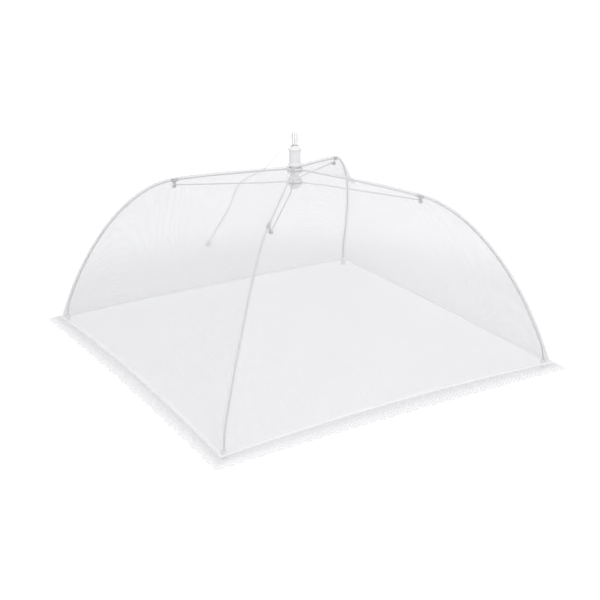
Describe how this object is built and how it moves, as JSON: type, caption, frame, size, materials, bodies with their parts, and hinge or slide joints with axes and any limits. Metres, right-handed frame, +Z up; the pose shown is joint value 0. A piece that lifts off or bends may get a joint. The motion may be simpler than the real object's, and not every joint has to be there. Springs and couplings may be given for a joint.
{
  "type": "mesh food cover umbrella",
  "caption": "Square folding net food cover with curved wire ribs, wire stretchers, a lace hem and a central hub with a pull cord.",
  "frame": {"origin": "on the table, under the hub's axis, at the centre of the square footprint", "axes": "+Z up along the hub; X and Y along the cover's sides; -Y is the front side"},
  "size_m": [0.4296, 0.4296, 0.244],
  "materials": {
    "white_plastic": "moulded, satin",
    "rib_wire": "grey coated spring steel wire",
    "plated_steel": "stamped and plated, dull",
    "net": "fine polyester net, see-through",
    "lace": "white lace",
    "seam_tape": "woven binding tape",
    "cord": "braided polyester cord"
  },
  "bodies": {
    "runner": {"runner": "white_plastic", "runner_ring": "plated_steel", "lock_rod": "white_plastic", "pull_cord": "cord", "pull_cord_knot": "cord"},
    "crown": {"crown": "white_plastic", "crown_ring": "plated_steel", "cap": "white_plastic", "apex_patch": "seam_tape"},
    "rib_front_left": {"rib_front_left": "rib_wire", "rib_tip_cap_front_left": "white_plastic", "corner_pocket_front_left": "seam_tape", "bracket_front_left": "plated_steel", "rivet_front_left": "plated_steel", "seam_tape_front_left": "seam_tape", "net_front_left": "net", "lace_front_left": "lace", "net_left_front": "net", "lace_left_front": "lace"},
    "stretcher_front_left": {"stretcher_front_left": "rib_wire"},
    "rib_front_right": {"rib_front_right": "rib_wire", "rib_tip_cap_front_right": "white_plastic", "corner_pocket_front_right": "seam_tape", "bracket_front_right": "plated_steel", "rivet_front_right": "plated_steel", "seam_tape_front_right": "seam_tape", "net_right_front": "net", "lace_right_front": "lace", "net_front_right": "net", "lace_front_right": "lace"},
    "stretcher_front_right": {"stretcher_front_right": "rib_wire"},
    "rib_back_right": {"rib_back_right": "rib_wire", "rib_tip_cap_back_right": "white_plastic", "corner_pocket_back_right": "seam_tape", "bracket_back_right": "plated_steel", "rivet_back_right": "plated_steel", "seam_tape_back_right": "seam_tape", "net_back_right": "net", "lace_back_right": "lace", "net_right_back": "net", "lace_right_back": "lace"},
    "stretcher_back_right": {"stretcher_back_right": "rib_wire"},
    "rib_back_left": {"rib_back_left": "rib_wire", "rib_tip_cap_back_left": "white_plastic", "corner_pocket_back_left": "seam_tape", "bracket_back_left": "plated_steel", "rivet_back_left": "plated_steel", "seam_tape_back_left": "seam_tape", "net_left_back": "net", "lace_left_back": "lace", "net_back_left": "net", "lace_back_left": "lace"},
    "stretcher_back_left": {"stretcher_back_left": "rib_wire"}
  },
  "joints": [
    {"name": "crown_slide", "type": "slide", "parent": "runner", "child": "crown", "axis": [0, 0, 1], "range_m": [0, 0.2172], "deforming": ["pull_cord", "pull_cord_knot"]},
    {"name": "rib_hinge_front_left", "type": "hinge", "parent": "crown", "child": "rib_front_left", "pos_m": [-0.00495, -0.00495, 0.2025], "axis": [0.7071, -0.7071, 0], "range_deg": [0, 50.01], "deforming": ["seam_tape_front_left", "net_front_left", "lace_front_left", "net_left_front", "lace_left_front"]},
    {"name": "stretcher_hinge_front_left", "type": "hinge", "parent": "runner", "child": "stretcher_front_left", "pos_m": [-0.00495, -0.00495, 0.189], "axis": [-0.7071, 0.7071, 0], "range_deg": [0, 67.25]},
    {"name": "rib_hinge_front_right", "type": "hinge", "parent": "crown", "child": "rib_front_right", "pos_m": [0.00495, -0.00495, 0.2025], "axis": [0.7071, 0.7071, 0], "range_deg": [0, 50.01], "deforming": ["seam_tape_front_right", "net_right_front", "lace_right_front", "net_front_right", "lace_front_right"]},
    {"name": "stretcher_hinge_front_right", "type": "hinge", "parent": "runner", "child": "stretcher_front_right", "pos_m": [0.00495, -0.00495, 0.189], "axis": [-0.7071, -0.7071, 0], "range_deg": [0, 67.25]},
    {"name": "rib_hinge_back_right", "type": "hinge", "parent": "crown", "child": "rib_back_right", "pos_m": [0.00495, 0.00495, 0.2025], "axis": [-0.7071, 0.7071, 0], "range_deg": [0, 50.01], "deforming": ["seam_tape_back_right", "net_back_right", "lace_back_right", "net_right_back", "lace_right_back"]},
    {"name": "stretcher_hinge_back_right", "type": "hinge", "parent": "runner", "child": "stretcher_back_right", "pos_m": [0.00495, 0.00495, 0.189], "axis": [0.7071, -0.7071, 0], "range_deg": [0, 67.25]},
    {"name": "rib_hinge_back_left", "type": "hinge", "parent": "crown", "child": "rib_back_left", "pos_m": [-0.00495, 0.00495, 0.2025], "axis": [-0.7071, -0.7071, 0], "range_deg": [0, 50.01], "deforming": ["seam_tape_back_left", "net_left_back", "lace_left_back", "net_back_left", "lace_back_left"]},
    {"name": "stretcher_hinge_back_left", "type": "hinge", "parent": "runner", "child": "stretcher_back_left", "pos_m": [-0.00495, 0.00495, 0.189], "axis": [0.7071, 0.7071, 0], "range_deg": [0, 67.25]}
  ],
  "couplings": [
    {"joint": "rib_hinge_front_left", "follows": "crown_slide", "rad_per_m": 4.0178},
    {"joint": "stretcher_hinge_front_left", "follows": "crown_slide", "rad_per_m": 5.4028},
    {"joint": "rib_hinge_front_right", "follows": "crown_slide", "rad_per_m": 4.0178},
    {"joint": "stretcher_hinge_front_right", "follows": "crown_slide", "rad_per_m": 5.4028},
    {"joint": "rib_hinge_back_right", "follows": "crown_slide", "rad_per_m": 4.0178},
    {"joint": "stretcher_hinge_back_right", "follows": "crown_slide", "rad_per_m": 5.4028},
    {"joint": "rib_hinge_back_left", "follows": "crown_slide", "rad_per_m": 4.0178},
    {"joint": "stretcher_hinge_back_left", "follows": "crown_slide", "rad_per_m": 5.4028}
  ]
}
